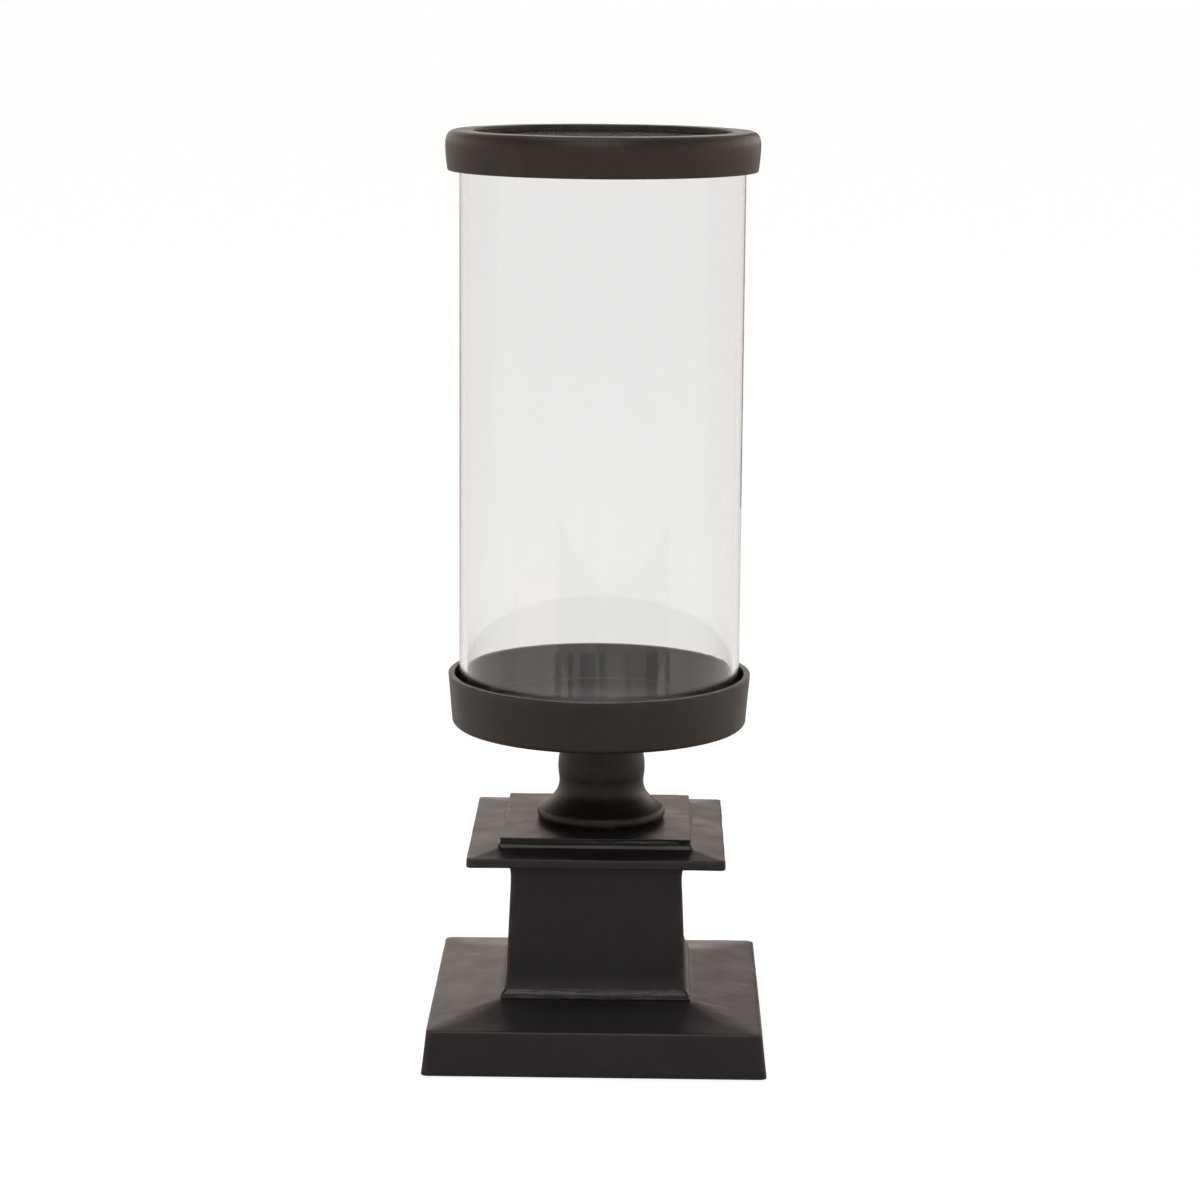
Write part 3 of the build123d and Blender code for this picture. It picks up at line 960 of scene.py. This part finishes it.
def make_floor():
    """A wide pale floor: white in view, and as light dimmer round the object than further out."""
    bm = bmesh.new()
    bmesh.ops.create_grid(bm, x_segments=8, y_segments=8, size=FLOOR_HALF)
    floor = finished("floor", bm)
    near, far, front, back = 0.12, 0.75, -0.3, 0.6
    n = Surface("pale_floor")
    where = n.place()
    distance = n.add("ShaderNodeVectorMath", {0: where}, operation="LENGTH").outputs["Value"]
    depth = n.add("ShaderNodeSeparateXYZ", {0: where}).outputs["Y"]
    open_floor = n.ramp(depth, front, back, FLOOR_FRONT, FLOOR_BACK)
    bounce = n.blend(n.ramp(distance, near, far), FLOOR_NEAR, open_floor)
    seen = n.seen_directly()
    n.set(Base_Color=(0.2, 0.2, 0.2, 1), Roughness=0.9, Specular_IOR_Level=0.0)
    n.set(Emission_Strength=n.blend(seen, bounce, FLOOR_GLOW), Emission_Color=n.mix(seen, FLOOR_TINT, WHITE))
    paint(floor, n.material)


def make_world():
    """Soft studio surround: white in view; as light, bright low down behind, dimmer overhead and in front."""
    world = bpy.data.worlds.new("studio")
    bpy.context.scene.world = world
    world.use_nodes = True
    n = Nodes(world.node_tree)
    direction = n.add("ShaderNodeTexCoord").outputs["Generated"]
    across, depth, height = n.add("ShaderNodeSeparateXYZ", {0: direction}).outputs
    behind = n.ramp(depth, -0.5, 0.35)
    light = n.ramp(behind, 0.0, 1.0, SKY_FRONT, SKY_BACK)
    light = n.calc("MULTIPLY", light, n.ramp(height, 0.24, 0.5, 1.0, SKY_HIGH))
    light = n.calc("MULTIPLY", light, n.ramp(across, -0.8, 0.8, SKY_LEFT, SKY_RIGHT))
    seen = n.seen_directly()
    sky = n.tree.nodes["Background"].inputs
    n.feed(sky["Strength"], n.blend(seen, light, 1.0))
    n.feed(sky["Color"], n.mix(seen, n.mix(behind, FRONT_TINT, BACK_TINT), WHITE))


def studio_card(name, azimuth, spread, distance, height, brightness, tint):
    """A card upright on the floor, seen only in reflections, azimuth degrees to the right of the front."""
    angle = math.radians(azimuth)
    middle = Vector((math.sin(angle), -math.cos(angle), 0)) * distance
    side = Vector((math.cos(angle), math.sin(angle), 0)) * distance * math.tan(math.radians(spread / 2))
    bm = bmesh.new()
    corners = ((-1, 0.0), (1, 0.0), (1, height), (-1, height))
    bm.faces.new([bm.verts.new(middle + side * x + Vector((0, 0, z))) for x, z in corners])
    card = finished(name, bm)
    n = Surface(name)
    n.set(Base_Color=(0, 0, 0, 1), Roughness=1.0, Specular_IOR_Level=0.0)
    n.set(Emission_Color=tint, Emission_Strength=brightness)
    paint(card, n.material)
    card.visible_camera = False
    card.visible_diffuse = False
    card.visible_transmission = False
    card.visible_shadow = False


def make_cards():
    """A dark card behind on the right for the edge of the glass, and what the glass mirrors in front."""
    studio_card("card_back_right", 165, 9, distance=1.6, height=1.2, brightness=0.0, tint=FRONT_TINT)
    for number, (azimuth, spread, brightness) in enumerate(STANDS, 1):
        place = (azimuth, spread, STAND_DISTANCE, STAND_HEIGHT)
        studio_card(f"stand_{number}", *place, brightness, FRONT_TINT)
    for number, (azimuth, spread, brightness) in enumerate(BOARDS, 1):
        place = (azimuth, spread, BOARD_DISTANCE, BOARD_HEIGHT)
        studio_card(f"board_{number}", *place, brightness, BOARD_TINT)


def soft_lamp(name, place, target, watts):
    """A soft rectangular lamp aimed at a point."""
    data = bpy.data.lights.new(name, "AREA")
    data.shape = "RECTANGLE"
    data.size, data.size_y = LAMP_SIZE
    data.energy = watts
    data.color = LAMP_TINT
    lamp = bpy.data.objects.new(name, data)
    lamp.location = place
    lamp.rotation_euler = (Vector(target) - Vector(place)).to_track_quat("-Z", "Y").to_euler()
    bpy.context.scene.collection.objects.link(lamp)


def make_studio():
    """Everything that isn't the lantern."""
    bpy.context.scene.view_settings.view_transform = "Standard"
    make_camera()
    make_floor()
    make_world()
    soft_lamp("front_high", (-0.15, -1.7, 1.9), (0, 0, 0.2), 16)
    soft_lamp("overhead", (-0.15, -0.1, 2.2), (0, 0, 0.3), 8)
    make_cards()


# ---------------------------------------------------------------- lantern


def stands_for(piece, node, body):
    """Puts a piece in the place of a CAD node, on its body."""
    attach(piece, body)
    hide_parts(node)


def place_casting(piece, node, body, *materials):
    """Marks a casting's edges for rubbed coat and a painted highlight, coats it and puts it in its place."""
    mark_edges(piece)
    paint(piece, *materials)
    stands_for(piece, node, body)


def place_part(piece, node, body, material):
    """Paints a piece that isn't a casting and puts it in its place."""
    paint(piece, material)
    stands_for(piece, node, body)


make_studio()

coat_ring = powder_coat("coat_turned", BROWN_BLACK)
coat_tray = powder_coat("coat_tray", BROWN_BLACK, gloss=0.38)
coat_inside = powder_coat("coat_inside", INSIDE_BROWN, sandy=0.4, roughness=0.6, gloss=0.14)
# Darker tone: painted shade on the neck under the tray
coat_neck = powder_coat("coat_neck", NECK_PAINTED_SHADE_BLACK)
# Bluish tone: a painted cool front light on the pedestal's castings
coat_flat = powder_coat("coat_flat", PAINTED_COOL_LIGHT_BLACK, brushed=(0.06, 1.0, 1.0), gloss=0.42)
# Lighter, bluish tone: painted light on the plinth's skirt
coat_plinth = powder_coat("coat_plinth", PLINTH_PAINTED_LIGHT_BLACK, brushed=(0.06, 1.0, 1.0), gloss=0.42)
zinc = zinc_plate()
felt = pad_felt()

place_casting(make_plinth(), "plinth", "pedestal", coat_plinth)
place_casting(make_column(), "column", "pedestal", coat_flat)
place_casting(make_capital(), "capital_plate", "pedestal", coat_flat)
place_casting(make_abacus(), "abacus_plate", "pedestal", coat_flat)
place_casting(make_neck(), "neck", "pedestal", coat_neck)
place_casting(make_tray(), "candle_tray", "pedestal", coat_tray, coat_inside)
place_casting(make_ring(), "top_ring", "ring", coat_ring)

place_part(make_glass(), "glass_chimney", "chimney", chimney_glass())
place_part(make_strip(), "ring_gasket", "ring", strip_rubber())
for pad in make_pads():
    place_part(pad, "foot_pads", "pedestal", felt)
place_part(make_rod(), "tie_rod", "pedestal", zinc)

for node in ("hex_nut", "flat_washer", "spring_washer"):
    paint(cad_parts[node], zinc)
